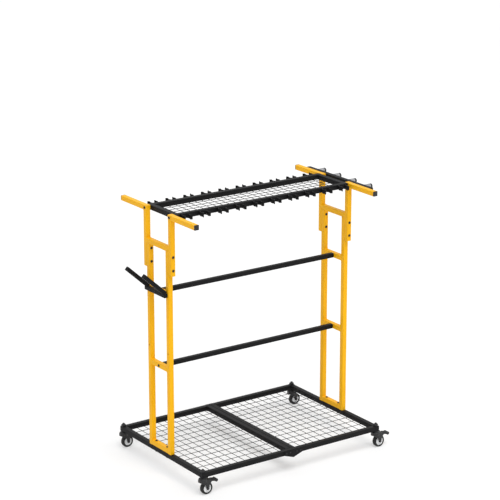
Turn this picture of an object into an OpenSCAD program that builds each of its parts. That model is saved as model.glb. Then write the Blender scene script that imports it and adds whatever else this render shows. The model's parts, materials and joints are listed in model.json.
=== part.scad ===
// Freestanding garden tool rack on four swivel casters.
// Millimetres, +Z up, +X to the rack's right as seen from the front, -Y to the front.
// The origin lies on the floor in the middle of the whole rack's outline.

/* [Overall] */
// Width of the base over its outer tubes
base_w = 860; // [760:1:1000]
// Depth of the base over its outer tubes
base_d = 600; // [520:1:700]
// Height from the floor to the top of the arms
rack_h = 1068; // [1000:1:1200]
// Height from the floor to the underside of the base tubes
caster_h = 72; // [72:1:90]

/* [Tube] */
// Side of the square frame tube
tube = 20; // [18:0.5:25]
// Wall of every square tube
tube_wall = 1.5; // [1:0.1:2]
// Outer corner radius of every square tube
tube_round = 2; // [1:0.1:2.5]
// Side of the two long tie bars
tie_w = 18; // [14:0.5:20]

/* [Base] */
// Gap of the seam between the two halves of the base
seam = 0.6; // [0.2:0.1:1]
// Diameter of the deck and tray wires
wire_d = 2.2; // [1.8:0.1:4]
// Cells between the outermost wires of each deck along its width
deck_x_count = 11; // [8:1:12]
// Cells between the outermost wires of each deck along its depth
deck_y_count = 12; // [8:1:16]
// Distance of a deck's first long wire from the tube on its left
deck_left_gap = 6; // [4:0.5:30]
// Distance of a deck's last long wire from the tube on its right
deck_right_gap = 22; // [4:0.5:30]
// Distance of a deck's first and last cross wires from the tubes
deck_end_gap = 12.4; // [4:0.2:30]
// Depth of the deck wires' middle below the top of the base tubes
deck_drop = 10; // [5:0.5:14]
// Width of a splice plate
splice_w = 88; // [80:1:110]
// Drop of a splice plate's point below the base tubes
splice_drop = 13; // [6:1:20]
// Thickness of a splice plate
splice_t = 3; // [2:0.5:4]

/* [Side frames] */
// Outer depth of a lower side frame
ladder_d = 154; // [130:1:180]
// Height of the middle of the lower crossbar
low_bar_z = 441; // [380:1:480]
// Distance of the middle of the hook's crossbar below the top of the arms
mid_bar_drop = 323; // [290:1:370]
// Distance of the lower frames' top, where the upper crossbar sits, below the top of the arms
shoulder_drop = 148; // [120:1:190]
// Length of the upper uprights below the shoulder
overlap = 94; // [80:1:120]
// Distance from the shoulder down to the upper of the two overlap bolts
bolt_drop = 18; // [14:1:24]
// Distance between the two overlap bolts
bolt_pitch = 53.5; // [45:1:60]
// Height of the spare holes in the lower uprights
spare_z = 507; // [480:1:560]
// Distance of an arm's capped tip from the rack's middle plane
arm_reach = 261; // [220:1:290]
// Distance of the base bolts from the middle plane
base_bolt_y = 40; // [30:1:44]

/* [Tray] */
// Cells of the tray floor along its width
tray_x_count = 26; // [18:1:30]
// Cells of the tray floor along its depth
tray_y_count = 5; // [4:1:6]
// Height of the tray wires' middle above the underside of the tray's rails
tray_wire_lift = 5; // [4:0.5:8]

/* [Tool clips] */
// Clips along each long rail of the tray
clip_count = 10; // [6:2:10]
// Distance of the first and last clips' middles from the outer sides of the base
clip_inset = 58.75; // [56:0.25:75]
// Radius of the tool handle that a clip grips
grip_r = 14; // [12:0.5:15]
// Thickness of a clip's strip
clip_t = 2.5; // [2:0.1:3]
// Height of a clip's strip
clip_h = 17; // [14:0.5:19]
// Half of the angle that a clip leaves open
mouth_angle = 55; // [48:1:62]
// Radius of the middle of a clip's flared lip
lip_r = 6; // [4:0.5:7]
// Angle that a lip turns through
lip_turn = 118; // [90:1:130]
// Width of a clip's flat back
clip_back = 22; // [18:0.5:26]

/* [Hose hook] */
// Side of the hook's square tube and prongs
hook_w = 16; // [14:0.5:18]
// Height of a prong's root above the middle of the hook's tube
prong_lift = 10; // [6:0.5:12]
// Distance between the middles of the two prongs
prong_pitch = 120; // [90:1:130]
// Slope of the prongs above the horizontal
prong_rise = 42; // [30:1:50]
// Reach of the prongs' tips out from the left side frame
hook_reach = 106; // [90:1:140]
// Distance of the hook's own screws from its middle
hook_screw_y = 34; // [28:1:40]

/* [Side pegs] */
// Length of the rail that carries the pegs
peg_rail_l = 416; // [380:1:440]
// Pegs along the rail
peg_count = 4; // [2:1:4]
// Distance between neighbouring pegs
peg_pitch = 102; // [90:1:108]
// Outer diameter of a peg's steel tube
peg_d = 20; // [16:0.5:20]
// Length of a peg's steel tube
peg_l = 25; // [24:1:40]
// Length of a peg's end plug outside the tube
plug_l = 9; // [6:0.5:14]

/* [Casters] */
// Radius of a caster's wheel
wheel_r = 25; // [23:0.5:25]
// Width of a wheel's tyre
tyre_w = 18; // [16:0.5:18]
// Radius of the wheel's centre inside its tyre
hub_r = 17.5; // [15:0.5:18]
// Distance of the wheel's axle behind the swivel axis
trail = 15; // [12:0.5:18]
// Diameter of the wheel's axle
axle_d = 6; // [5:0.5:7]
// Diameter of the pin that a caster swivels on
king_d = 8; // [7:0.5:9]
// Diameter of the threaded stem above the caster
stem_d = 10; // [8:0.5:10]
// Angle that a brake pedal travels through
pedal_travel = 20; // [10:1:20]

/* [Fits] */
// Radial clearance of a turning pin in its hole
run_gap = 0.05; // [0.02:0.01:0.1]
// Clearance between pieces that are bolted or pushed together
fit_gap = 0.2; // [0.1:0.05:0.3]
// Clearance between a turning piece and its neighbours
side_gap = 0.4; // [0.3:0.1:0.8]

/* [Hidden] */
$fn = 48;
// Overrun of a cut past the face that it opens
cut = 1;
clips = [for (i = [1:clip_count]) i];

yellow = [0.98, 0.72, 0.1];
black = [0.13, 0.13, 0.13];
steel = [0.75, 0.76, 0.78];

// Lowest and highest level of the base tubes
base_z0 = caster_h;
base_z1 = caster_h + tube;
// Middle of the outer base tubes, which the side frames stand on
side_x = base_w / 2 - tube / 2;
// Middles of the lower and upper uprights along the depth
low_y = ladder_d / 2 - tube / 2;
up_y = ladder_d / 2 + tube / 2;
arm_z = rack_h - tube / 2;
shoulder_z = rack_h - shoulder_drop;
mid_bar_z = rack_h - mid_bar_drop;
// Reach of the peg rail and pegs past the right side frame
peg_reach = tube + peg_l + plug_l;
// Shift that puts the middle of the whole outline over the origin
centre_x = (hook_reach - peg_reach) / 2;
corners = [[-1, -1], [1, -1], [-1, 1], [1, 1]];

// Metric fasteners: shaft, head and nut
bolt_d = 6;
bolt_head_d = 11;
bolt_head_h = 3.2;
nut_w = 10;
nut_h = 5;
screw_d = 4;
screw_head_d = 7.5;
screw_head_h = 2.2;
// Depth that a small screw reaches into a tube
screw_bite = 6;
// Flat head of the rivets that hold the clips
rivet_head_h = 1.2;

// Outline of square tube of side w, with its corners rounded
module tube_outline(w) {
    square([w, w - 2 * tube_round], center = true);
    square([w - 2 * tube_round, w], center = true);
    for (sx = [-1, 1], sy = [-1, 1])
        translate([sx * (w / 2 - tube_round), sy * (w / 2 - tube_round)]) circle(tube_round);
}

// Turns a solid that stands on z = 0 so that it runs along the named axis
module along(axis) {
    if (axis == "x") rotate([0, 90, 0]) children();
    else if (axis == "y") rotate([-90, 0, 0]) children();
    else children();
}

// Full bar of tube stock that starts at p and runs along an axis
module stock(p, len, axis, w = tube) {
    translate(p) along(axis) linear_extrude(height = len) tube_outline(w);
}

// The hollow inside the same bar
module hollow(p, len, axis, w = tube) {
    inside = w - 2 * tube_wall;
    translate(p) along(axis) linear_extrude(height = len) square([inside, inside], center = true);
}

// Round hole or shaft that starts at p and runs along an axis
module rod(p, len, axis, d) {
    translate(p) along(axis) cylinder(d = d, h = len);
}

// Puts a piece where its name says: side -1 is the left, 1 the right
module to_side(side) {
    translate([centre_x, 0, 0]) mirror([side < 0 ? 1 : 0, 0, 0]) children();
}

// Hex nut that starts at p and runs along an axis
module nut(p, axis, w, h, d) {
    translate(p) along(axis) difference() {
        cylinder(d = w / cos(30), h = h, $fn = 6);
        translate([0, 0, -cut]) cylinder(d = d, h = h + 2 * cut);
    }
}

// Button-headed bolt: the head's seat is at p and the shaft runs along the axis
module bolt(p, len, axis, d = bolt_d, head_d = bolt_head_d, head_h = bolt_head_h) {
    flat_share = 0.55;
    translate(p) along(axis) {
        cylinder(d = d, h = len);
        translate([0, 0, -head_h / 2]) cylinder(d = head_d, h = head_h / 2);
        translate([0, 0, -head_h]) cylinder(d1 = head_d * flat_share, d2 = head_d, h = head_h / 2);
    }
}

// Half of the base: a welded ring of tube with holes for stems, bolts and screws
half_w = base_w / 2 - seam / 2;
ring_y = base_d / 2 - tube / 2;
seam_x = seam / 2 + tube / 2;
splice_shares = [0.18, 0.38];
splice_holes = [for (share = splice_shares) seam / 2 + share * splice_w];

module base_half(side) {
    color(black) to_side(side) difference() {
        union() {
            for (s = [-1, 1]) stock([seam / 2, s * ring_y, base_z0 + tube / 2], half_w, "x");
            for (x = [seam_x, side_x]) stock([x, -base_d / 2, base_z0 + tube / 2], base_d, "y");
        }
        for (s = [-1, 1])
            hollow([seam / 2 + tube_wall, s * ring_y, base_z0 + tube / 2], half_w - 2 * tube_wall, "x");
        for (x = [seam_x, side_x])
            hollow([x, -base_d / 2 + tube_wall, base_z0 + tube / 2], base_d - 2 * tube_wall, "y");
        for (s = [-1, 1]) {
            rod([side_x, s * ring_y, base_z0 - cut], tube + 2 * cut, "z", stem_d + 2 * fit_gap);
            rod([side_x, s * base_bolt_y, base_z0 - cut], tube + 2 * cut, "z", bolt_d + 2 * fit_gap);
        }
        for (x = splice_holes, s = [0, 1]) mirror([0, s, 0])
            rod([x, ring_y, base_z0 + tube / 2], tube / 2 + cut, "y", screw_d + 2 * fit_gap);
    }
}

// Welded wire grid of one half: two layers of wires between the tubes' inner faces
deck_z = base_z1 - deck_drop;
deck_x0 = seam / 2 + tube;
deck_x1 = base_w / 2 - tube;
deck_y1 = base_d / 2 - tube;
// Gap left between the two layers, where the real wires are welded
weld_gap = 0.05;

// The two decks are the same panel, so neither is a mirror image of the other
module deck(side) {
    layer = (wire_d + weld_gap) / 2;
    x0 = side < 0 ? -deck_x1 : deck_x0;
    x_pitch = (deck_x1 - deck_x0 - deck_left_gap - deck_right_gap) / deck_x_count;
    y_pitch = 2 * (deck_y1 - deck_end_gap) / deck_y_count;
    color(black) translate([centre_x, 0, deck_z]) {
        for (i = [0:deck_x_count])
            rod([x0 + deck_left_gap + i * x_pitch, -deck_y1, -layer], 2 * deck_y1, "y", wire_d);
        for (i = [0:deck_y_count])
            rod([x0, deck_end_gap - deck_y1 + i * y_pitch, layer], deck_x1 - deck_x0, "x", wire_d);
    }
}

// Plates with a pointed foot that join the two halves at the front and rear seams
module splice_plates() {
    half = splice_w / 2;
    top = tube - tube_round;
    color(black) translate([centre_x, 0, base_z0])
        for (s = [-1, 1]) translate([0, s > 0 ? base_d / 2 + splice_t : -base_d / 2, 0])
            rotate([90, 0, 0]) linear_extrude(height = splice_t) difference() {
                polygon([[-half, tube_round], [0, -splice_drop], [half, tube_round],
                    [half, top], [-half, top]]);
                for (x = splice_holes, sx = [-1, 1])
                    translate([sx * x, tube / 2]) circle(screw_d / 2 + fit_gap);
            }
}

module splice_screws() {
    color(black) for (x = splice_holes, sx = [-1, 1], turn = [0, 180])
        translate([centre_x, 0, base_z0 + tube / 2]) rotate([0, 0, turn])
            bolt([sx * x, -base_d / 2 - splice_t, 0], splice_t + screw_bite, "y",
                screw_d, screw_head_d, screw_head_h);
}

// Casters: the stem's flange, the king pin's head and the crown that turns between them
flange_t = 4;
flange_d = 22;
king_head_d = 12;
king_head_t = 2.5;
wheel_room = 2;
crown_r = 17;
crown_z0 = 2 * wheel_r + wheel_room;
crown_z1 = caster_h - flange_t - side_gap;
crown_round = 4;
stem_nut_w = 17;
stem_nut_h = 8;
stem_end = 5;
// Fork legs either side of the tyre, and the boss that each has round the axle
leg_t = 3;
leg_room = 1;
leg_y = tyre_w / 2 + leg_room;
boss_r = 6;
axle_head_d = 10;
axle_head_t = 2;
// Pivot of the brake pedal, carried by two ears in front of the crown
pivot_d = 5;
pivot_r = 5;
pivot_x = crown_r + pivot_r + leg_t;
pivot_z = crown_z0 + pivot_r;
ear_x = pivot_x + pivot_r + leg_room;
ear_z = pivot_z + pivot_r;

// Puts a caster part over its corner; its wheel trails to the right at rest
module at_corner(c) {
    translate([centre_x + c[0] * side_x, c[1] * ring_y, 0]) children();
}

// Threaded stem with its flange, and the king pin that the fork turns on
module caster_stems() {
    chamfer = 1;
    top = base_z1 + stem_nut_h + stem_end;
    head_top = crown_z0 + king_head_t;
    color(black) for (c = corners) at_corner(c) rotate_extrude() polygon([
        [0, crown_z0], [king_head_d / 2, crown_z0], [king_head_d / 2, head_top], [king_d / 2, head_top],
        [king_d / 2, base_z0 - flange_t], [flange_d / 2 - chamfer, base_z0 - flange_t],
        [flange_d / 2, base_z0 - flange_t + chamfer], [flange_d / 2, base_z0], [stem_d / 2, base_z0],
        [stem_d / 2, top - chamfer], [stem_d / 2 - chamfer, top], [0, top]]);
}

module caster_nuts() {
    color(black) for (c = corners) at_corner(c)
        nut([0, 0, base_z1], "z", stem_nut_w, stem_nut_h, stem_d + 2 * fit_gap);
}

// Pressed fork: a domed crown over two tapered legs that end round the axle
module fork(c, has_pedal) {
    outer_y = leg_y + leg_t;
    back_x = -crown_r + leg_t;
    front_x = has_pedal ? ear_x : crown_r;
    bridge_z = crown_z0 + king_head_t + side_gap;
    bridge_l = crown_r / 2 - back_x;
    // The legs narrow in two steps, at the skirt and at the waist
    skirt_z = crown_z0 - leg_t;
    waist_z = (wheel_r + crown_z0) / 2;
    waist = boss_r + leg_t / 2;
    color(black) at_corner(c) difference() {
        union() {
            rotate_extrude() {
                translate([0, crown_z0]) square([crown_r, crown_z1 - crown_round - crown_z0]);
                translate([0, crown_z0]) square([crown_r - crown_round, crown_z1 - crown_z0]);
                translate([crown_r - crown_round, crown_z1 - crown_round]) circle(crown_round);
            }
            translate([back_x, -outer_y, bridge_z]) cube([bridge_l, 2 * outer_y, ear_z - bridge_z]);
            for (s = [0, 1]) mirror([0, s, 0])
                translate([0, outer_y, 0]) rotate([90, 0, 0]) linear_extrude(height = leg_t) {
                    polygon([[back_x, ear_z], [back_x, skirt_z], [trail - waist, waist_z],
                        [trail - boss_r, wheel_r], [trail + boss_r, wheel_r],
                        [trail + waist, waist_z], [front_x, skirt_z], [front_x, ear_z]]);
                    translate([trail, wheel_r]) circle(boss_r);
                }
        }
        rod([0, 0, crown_z0 - cut], caster_h, "z", king_d + 2 * run_gap);
        rod([0, 0, crown_z0 - cut], king_head_t + side_gap + cut, "z", king_head_d + 2 * side_gap);
        rod([trail, -outer_y - cut, wheel_r], 2 * (outer_y + cut), "y", axle_d + 2 * run_gap);
        if (has_pedal)
            rod([pivot_x, -outer_y - cut, pivot_z], 2 * (outer_y + cut), "y", pivot_d + 2 * run_gap);
    }
}

module axle(c) {
    half = leg_y + leg_t;
    color(steel) at_corner(c) translate([trail, 0, wheel_r]) {
        rod([0, -half, 0], 2 * half, "y", axle_d);
        rod([0, -half - axle_head_t, 0], axle_head_t, "y", axle_head_d);
        rod([0, half, 0], axle_head_t, "y", axle_head_d);
    }
}

// Wheel centre: rim, thin web and a boss that runs on the axle
module hub(c) {
    rim_t = 2.5;
    web = 2.5;
    half_rim = tyre_w / 2 - leg_room;
    half_boss = leg_y - side_gap;
    bore = axle_d / 2 + run_gap;
    color([0.85, 0.85, 0.85]) at_corner(c) translate([trail, 0, wheel_r]) rotate([90, 0, 0])
        rotate_extrude() polygon([
            [bore, -half_boss], [boss_r, -half_boss], [boss_r, -web], [hub_r - rim_t, -web],
            [hub_r - rim_t, -half_rim], [hub_r, -half_rim], [hub_r, half_rim], [hub_r - rim_t, half_rim],
            [hub_r - rim_t, web], [boss_r, web], [boss_r, half_boss], [bore, half_boss]]);
}

// Rubber tyre with rounded shoulders
module tyre(c) {
    shoulder = 3;
    inner = hub_r + run_gap;
    half = tyre_w / 2;
    color([0.08, 0.08, 0.08]) at_corner(c) translate([trail, 0, wheel_r]) rotate([90, 0, 0])
        rotate_extrude() {
            translate([inner, -half]) square([wheel_r - shoulder - inner, tyre_w]);
            translate([inner, -half + shoulder]) square([wheel_r - inner, tyre_w - 2 * shoulder]);
            for (s = [-1, 1]) translate([wheel_r - shoulder, s * (half - shoulder)]) circle(shoulder);
        }
}

// Brake pedal: a paddle with a thick toe on two trunnions, and a shoe that ends its travel just
// off the tyre
module pedal(c) {
    slope = 12;
    paddle_l = 38;
    paddle_t = 7;
    toe_r = 6.5;
    neck_t = 4;
    neck_l = pivot_r + leg_t + paddle_t / 3;
    neck_w = 2 * (leg_y - side_gap);
    paddle_w = 2 * leg_y + leg_t;
    shoe_r = 2.5;
    shoe_l = 10;
    // Triangle of the wheel's centre, the pivot and the shoe with the pedal pressed
    dx = pivot_x - trail;
    dz = pivot_z - wheel_r;
    reach = norm([dx, dz]);
    off = wheel_r + shoe_r + side_gap;
    swing = acos((reach * reach + shoe_l * shoe_l - off * off) / (2 * reach * shoe_l));
    shoe_angle = 90 + atan2(dx, dz) - swing - pedal_travel;
    color(black) at_corner(c) translate([pivot_x, 0, pivot_z]) {
        rod([0, -leg_y - leg_t, 0], 2 * (leg_y + leg_t), "y", pivot_d);
        rotate([90, 0, 0]) linear_extrude(height = neck_w, center = true) {
            circle(pivot_r);
            rotate(-slope) translate([0, -neck_t / 2]) square([neck_l + leg_t, neck_t]);
            rotate(-shoe_angle) {
                translate([0, -shoe_r]) square([shoe_l, 2 * shoe_r]);
                translate([shoe_l, 0]) circle(shoe_r);
            }
        }
        rotate([90, slope, 0]) linear_extrude(height = paddle_w, center = true) {
            translate([neck_l, -paddle_t / 2]) square([paddle_l - neck_l - toe_r, paddle_t]);
            translate([paddle_l - toe_r, 0]) circle(toe_r);
        }
    }
}

// Lower side frame: two uprights, a foot bar and two crossbars
module lower_frame(side) {
    up_l = shoulder_z - base_z1;
    levels = [base_z1 + tube / 2, low_bar_z, mid_bar_z];
    color(yellow) to_side(side) difference() {
        union() {
            for (s = [-1, 1]) stock([side_x, s * low_y, base_z1], up_l, "z");
            for (z = levels) stock([side_x, -low_y, z], 2 * low_y, "y");
        }
        for (s = [-1, 1]) {
            hollow([side_x, s * low_y, base_z1 - cut], up_l + 2 * cut, "z");
            rod([side_x, s * base_bolt_y, base_z1 - cut], tube + 2 * cut, "z", bolt_d + 2 * fit_gap);
            rod([side_x, s * low_y, spare_z], tube / 2 + cut, "x", bolt_d + 2 * fit_gap);
        }
        for (z = levels)
            hollow([side_x, -low_y + tube / 2, z], 2 * low_y - tube, "y");
        for (z = [low_bar_z, mid_bar_z])
            rod([side_x - tube / 2 - cut, 0, z], tube + 2 * cut, "x", bolt_d + 2 * fit_gap);
        if (side < 0)
            for (s = [-1, 1])
                rod([side_x, s * hook_screw_y, mid_bar_z], tube / 2 + cut, "x", screw_d + 2 * fit_gap);
        for (i = [0, 1])
            rod([side_x, -ladder_d / 2 - cut, shoulder_z - bolt_drop - i * bolt_pitch],
                ladder_d + 2 * cut, "y", bolt_d + 2 * fit_gap);
    }
}

// Upper side frame: two uprights outside the lower ones, a crossbar and two arms
module upper_frame(side) {
    foot_z = shoulder_z - overlap;
    color(yellow) to_side(side) difference() {
        union() {
            for (s = [-1, 1]) stock([side_x, s * up_y, foot_z], rack_h - foot_z, "z");
            stock([side_x, -up_y, shoulder_z + tube / 2], 2 * up_y, "y");
            for (s = [0, 1]) mirror([0, s, 0])
                stock([side_x, up_y - tube / 2, arm_z], arm_reach - cap_t - up_y + tube / 2, "y");
        }
        for (s = [0, 1]) mirror([0, s, 0]) {
            hollow([side_x, up_y, foot_z - cut], rack_h - foot_z - tube_wall + cut, "z");
            hollow([side_x, up_y - tube / 2 + tube_wall, arm_z], arm_reach, "y");
            rod([side_x - tube / 2 - cut, up_y, arm_z], tube + 2 * cut, "x", bolt_d + 2 * fit_gap);
        }
        hollow([side_x, -up_y + tube / 2, shoulder_z + tube / 2], 2 * up_y - tube, "y");
        rod([side_x, 0, shoulder_z - cut], tube / 2, "z", bolt_d);
        for (i = [0, 1])
            rod([side_x, -up_y - tube / 2 - cut, shoulder_z - bolt_drop - i * bolt_pitch],
                2 * up_y + tube + 2 * cut, "y", bolt_d + 2 * fit_gap);
    }
}

// Two bolts through each pair of uprights, with their heads to the front
module overlap_bolts() {
    nut_side = tube + tube + nut_h;
    color(black) for (side = [-1, 1], i = [0, 1]) to_side(side) {
        z = shoulder_z - bolt_drop - i * bolt_pitch;
        bolt([side_x, -up_y - tube / 2, z], nut_side, "y");
        bolt([side_x, low_y - tube / 2, z], nut_side, "y");
    }
}

module base_bolts() {
    color(black) for (side = [-1, 1], s = [-1, 1]) to_side(side)
        translate([side_x, s * base_bolt_y, base_z1 + tube]) rotate([180, 0, 0])
            bolt([0, 0, 0], 2 * tube + nut_h, "z");
}

// Nuts of the overlap and base bolts, and the weld nuts inside the tray's corners
module hex_nuts() {
    d = bolt_d + 2 * fit_gap;
    color(black) for (side = [-1, 1], s = [-1, 1]) to_side(side) {
        for (i = [0, 1])
            nut([side_x, s < 0 ? -low_y + tube / 2 : up_y + tube / 2,
                shoulder_z - bolt_drop - i * bolt_pitch], "y", nut_w, nut_h, d);
        nut([side_x, s * base_bolt_y, base_z0 - nut_h], "z", nut_w, nut_h, d);
        nut([tray_w / 2 - tube_wall - nut_h, s * up_y, arm_z], "x", nut_w, nut_h, d);
    }
}

// Plastic plugs in the open ends of the four arms
cap_t = 3;
module arm_caps() {
    inside = tube - 2 * tube_wall - 2 * fit_gap;
    spigot = 12;
    color(black) for (side = [-1, 1], s = [0, 1]) to_side(side) mirror([0, s, 0]) {
        stock([side_x, arm_reach - cap_t, arm_z], cap_t, "y");
        translate([side_x - inside / 2, arm_reach - cap_t - spigot, arm_z - inside / 2])
            cube([inside, spigot, inside]);
    }
}

// Long bars between the side frames, with a closed and tapped end for a screw
bar_l = base_w - 2 * tube - 2 * fit_gap;
bar_end = 6;
module tie_bar(z) {
    color(black) translate([centre_x, 0, z]) difference() {
        stock([-bar_l / 2, 0, 0], bar_l, "x", tie_w);
        hollow([-bar_l / 2 + bar_end, 0, 0], bar_l - 2 * bar_end, "x", tie_w);
        rod([-bar_l / 2 - cut, 0, 0], bar_l + 2 * cut, "x", bolt_d + 2 * fit_gap);
    }
}

module tie_bar_screws() {
    bite = 8;
    color(black) for (side = [-1, 1], z = [low_bar_z, mid_bar_z]) {
        through_hook = side < 0 && z == mid_bar_z;
        seat = base_w / 2 + (through_hook ? hook_w : 0);
        to_side(side) translate([seat, 0, z]) rotate([0, 180, 0])
            bolt([0, 0, 0], seat - base_w / 2 + tube + bite, "x");
    }
}

// Ring of tube that forms the tray's sides, between the upper uprights
tray_w = base_w - 2 * tube - 2 * fit_gap;
tray_d = ladder_d + 2 * tube;
clip_pitch = (base_w - 2 * clip_inset) / (clip_count - 1);
function clip_x(i) = (i - (clip_count + 1) / 2) * clip_pitch;

module tray_frame() {
    long_y = tray_d / 2 - tube / 2;
    short_x = tray_w / 2 - tube / 2;
    color(black) translate([centre_x, 0, 0]) difference() {
        union() {
            for (s = [-1, 1]) {
                stock([-tray_w / 2, s * long_y, arm_z], tray_w, "x");
                stock([s * short_x, -tray_d / 2, arm_z], tray_d, "y");
            }
        }
        for (s = [-1, 1]) {
            hollow([-tray_w / 2 + tube_wall, s * long_y, arm_z], tray_w - 2 * tube_wall, "x");
            hollow([s * short_x, -tray_d / 2 + tube_wall, arm_z], tray_d - 2 * tube_wall, "y");
            for (t = [-1, 1])
                rod([s * short_x - tube / 2 - cut, t * up_y, arm_z], tube + 2 * cut, "x",
                    bolt_d + 2 * fit_gap);
            for (i = [1:clip_count])
                rod([clip_x(i), s > 0 ? tray_d / 2 - tube / 2 : -tray_d / 2 - cut, arm_z],
                    tube / 2 + cut, "y", screw_d + 2 * fit_gap);
        }
    }
}

// Wires of the tray's floor, in two layers as on the decks
module tray_floor() {
    layer = (wire_d + weld_gap) / 2;
    x1 = tray_w / 2 - tube;
    y1 = tray_d / 2 - tube;
    z = arm_z - tube / 2 + tray_wire_lift;
    color(black) translate([centre_x, 0, 0]) {
        for (i = [1:tray_x_count - 1])
            rod([-x1 + i * 2 * x1 / tray_x_count, -y1, z - layer], 2 * y1, "y", wire_d);
        for (i = [1:tray_y_count - 1])
            rod([-x1, -y1 + i * 2 * y1 / tray_y_count, z + layer], 2 * x1, "x", wire_d);
    }
}

// Bolts through the upper uprights; those on the right also hold the peg rail
module tray_bolts() {
    color(black) for (side = [-1, 1], s = [-1, 1]) {
        seat = base_w / 2 + (side > 0 ? tube : 0);
        to_side(side) translate([seat, s * up_y, arm_z]) rotate([0, 180, 0])
            bolt([0, 0, 0], seat - tray_w / 2 + tube_wall + nut_h, "x");
    }
}

// Tool clip seen from above: it opens along +Y and its flat back lies on y = 0
grip_mid = grip_r + clip_t / 2;
// Depth that the round grip is pressed flat against the back
press_share = 0.15;
grip_y = clip_t + grip_r - press_share * clip_t;
lip_x = (grip_mid + lip_r) * sin(mouth_angle);
lip_y = grip_y + (grip_mid + lip_r) * cos(mouth_angle);
// Rolled beads at both ends of a lip
bead_share = 0.65;
bead_r = bead_share * clip_t;

module ring(r_mid) {
    difference() {
        circle(r_mid + clip_t / 2);
        circle(r_mid - clip_t / 2);
    }
}

// Wedge from the origin that covers angles a0 to a1, measured from +X
module wedge(a0, a1, r) {
    mid = (a0 + a1) / 2;
    far = 2 * r;
    polygon([[0, 0], far * [cos(a0), sin(a0)], far * [cos(mid), sin(mid)], far * [cos(a1), sin(a1)]]);
}

module clip_outline() {
    difference() {
        translate([0, grip_y]) difference() {
            ring(grip_mid);
            wedge(90 - mouth_angle, 90 + mouth_angle, grip_r + clip_t);
        }
        translate([-clip_back / 2, -clip_t]) square([clip_back, clip_t]);
    }
    translate([-clip_back / 2, 0]) square([clip_back, clip_t]);
    for (s = [0, 1]) mirror([s, 0]) translate([lip_x, lip_y]) {
        start = 270 - mouth_angle;
        intersection() {
            ring(lip_r);
            wedge(start - lip_turn, start, lip_r + clip_t);
        }
        for (a = [start - lip_turn, start]) translate(lip_r * [cos(a), sin(a)]) circle(bead_r);
    }
}

module clip(i, row) {
    root = [centre_x + clip_x(i), row * tray_d / 2, arm_z];
    color(black) translate(root) mirror([0, row < 0 ? 1 : 0, 0])
        difference() {
            translate([0, 0, -clip_h / 2]) linear_extrude(height = clip_h) clip_outline();
            rod([0, -cut, 0], clip_t + 2 * cut, "y", screw_d + 2 * fit_gap);
        }
}

module clip_rivets() {
    color(black) for (i = clips, turn = [0, 180])
        translate([centre_x, 0, arm_z]) rotate([0, 0, turn])
            bolt([clip_x(i), -tray_d / 2 - clip_t, 0], clip_t + screw_bite, "y",
                screw_d, screw_head_d, rivet_head_h);
}

// Double-prong hook: a tube on the left frame's crossbar and two sloping prongs
module hose_hook() {
    face = base_w / 2;
    mid = face + hook_w / 2;
    tip = hook_w / 2 * sin(prong_rise);
    prong_l = (hook_reach - hook_w / 2 - tip) / cos(prong_rise);
    end_y = prong_pitch / 2 + hook_w / 2 + tube_round;
    color(black) to_side(-1) difference() {
        union() {
            stock([mid, -end_y, mid_bar_z], 2 * end_y, "y", hook_w);
            for (s = [-1, 1])
                translate([mid, s * prong_pitch / 2, mid_bar_z + prong_lift]) rotate([0, -prong_rise, 0])
                    stock([0, 0, 0], prong_l, "x", hook_w);
        }
        hollow([mid, -end_y + hook_w, mid_bar_z], 2 * (end_y - hook_w), "y", hook_w);
        rod([face - cut, 0, mid_bar_z], hook_w + 2 * cut, "x", bolt_d + 2 * fit_gap);
        for (s = [-1, 1])
            rod([face - cut, s * hook_screw_y, mid_bar_z], hook_w + 2 * cut, "x", screw_d + 2 * fit_gap);
    }
}

module hook_screws() {
    color(black) for (s = [-1, 1]) to_side(-1)
        translate([base_w / 2 + hook_w, s * hook_screw_y, mid_bar_z]) rotate([0, 180, 0])
            bolt([0, 0, 0], hook_w + screw_bite, "x", screw_d, screw_head_d, screw_head_h);
}

// Rail on the outside of the right arms, and its steel pegs
function peg_y(i) = (i - (peg_count + 1) / 2) * peg_pitch;

module peg_rail() {
    x = base_w / 2 + tube / 2;
    color(black) to_side(1) difference() {
        stock([x, -peg_rail_l / 2, arm_z], peg_rail_l, "y");
        hollow([x, -peg_rail_l / 2 + tube_wall, arm_z], peg_rail_l - 2 * tube_wall, "y");
        for (s = [-1, 1])
            rod([x - tube / 2 - cut, s * up_y, arm_z], tube + 2 * cut, "x", bolt_d + 2 * fit_gap);
        for (i = [1:peg_count])
            rod([x, peg_y(i), arm_z], tube / 2 + cut, "x", screw_d + 2 * fit_gap);
    }
}

peg_wall = 1.5;
peg_floor = 3;
module pegs() {
    root = base_w / 2 + tube;
    color(steel) for (i = [1:peg_count]) to_side(1) translate([root, peg_y(i), arm_z]) along("x")
        difference() {
            cylinder(d = peg_d, h = peg_l);
            translate([0, 0, peg_floor]) cylinder(d = peg_d - 2 * peg_wall, h = peg_l);
            translate([0, 0, -cut]) cylinder(d = screw_d + 2 * fit_gap, h = peg_l);
        }
}

module peg_plugs() {
    spigot = 10;
    edge = 1.5;
    root = base_w / 2 + tube + peg_l;
    color(black) for (i = [1:peg_count]) to_side(1) translate([root, peg_y(i), arm_z]) along("x") {
        cylinder(d = peg_d, h = plug_l - edge);
        translate([0, 0, plug_l - edge]) cylinder(d1 = peg_d, d2 = peg_d - 2 * edge, h = edge);
        translate([0, 0, -spigot]) cylinder(d = peg_d - 2 * peg_wall - 2 * fit_gap, h = spigot);
    }
}

module peg_screws() {
    color(steel) for (i = [1:peg_count]) to_side(1)
        translate([base_w / 2 + tube + peg_floor, peg_y(i), arm_z]) rotate([0, 180, 0])
            bolt([0, 0, 0], peg_floor + screw_bite, "x", screw_d, screw_head_d, screw_head_h);
}

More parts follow.
